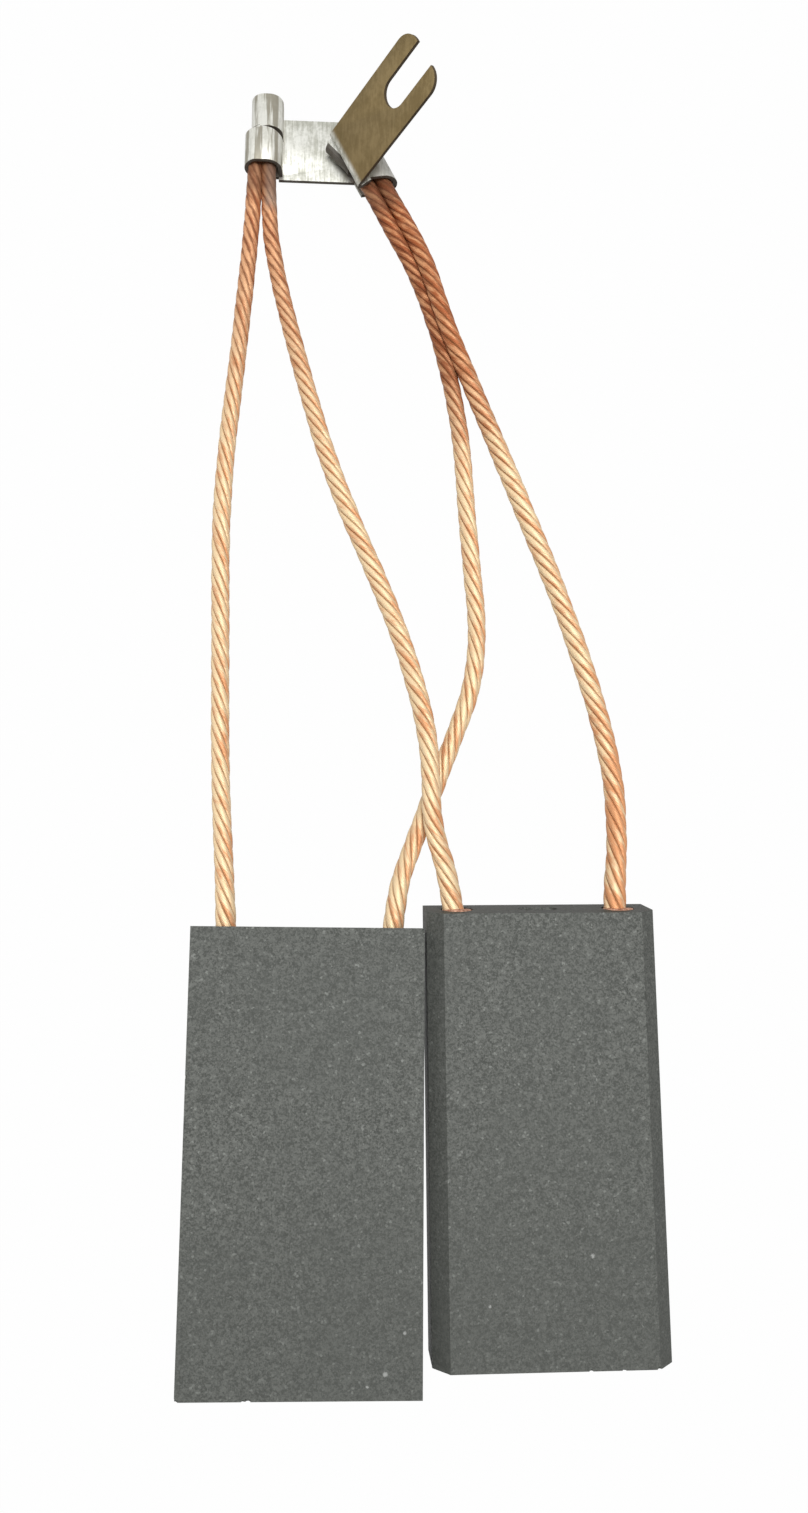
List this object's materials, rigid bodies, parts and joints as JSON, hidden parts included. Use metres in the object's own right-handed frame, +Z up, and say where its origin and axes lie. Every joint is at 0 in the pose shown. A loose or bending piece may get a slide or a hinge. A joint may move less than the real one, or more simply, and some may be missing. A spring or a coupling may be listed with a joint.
{
  "type": "carbon brush",
  "caption": "Split carbon brush with flat graphite wafers, long stranded copper shunts and a folded, tinned fork terminal.",
  "frame": {"origin": "centre of the left wafer's underside, where it lies on the table", "axes": "+X across the wafers from the left one to the right one, +Y along the wafers from their contact ends to their shunt ends and on to the terminal, +Z up from the table"},
  "size_m": [0.0654, 0.189, 0.0198],
  "materials": {
    "graphite": "dry, matt, finely speckled electrographite",
    "copper_rope": "bare stranded copper",
    "copper_powder": "dull tamped copper powder",
    "tinned_sheet": "hot-tinned copper sheet, scratched"
  },
  "bodies": {
    "root": {"left_wafer": "graphite", "right_wafer": "graphite", "shunt_outer_left": "copper_rope", "shunt_crossing": "copper_rope", "shunt_inner_left": "copper_rope", "shunt_outer_right": "copper_rope", "plug_outer_left": "copper_powder", "plug_crossing": "copper_powder", "plug_inner_left": "copper_powder", "plug_outer_right": "copper_powder", "terminal": "tinned_sheet", "left_crimped_ends": "copper_rope", "right_crimped_ends": "copper_rope"}
  },
  "joints": []
}
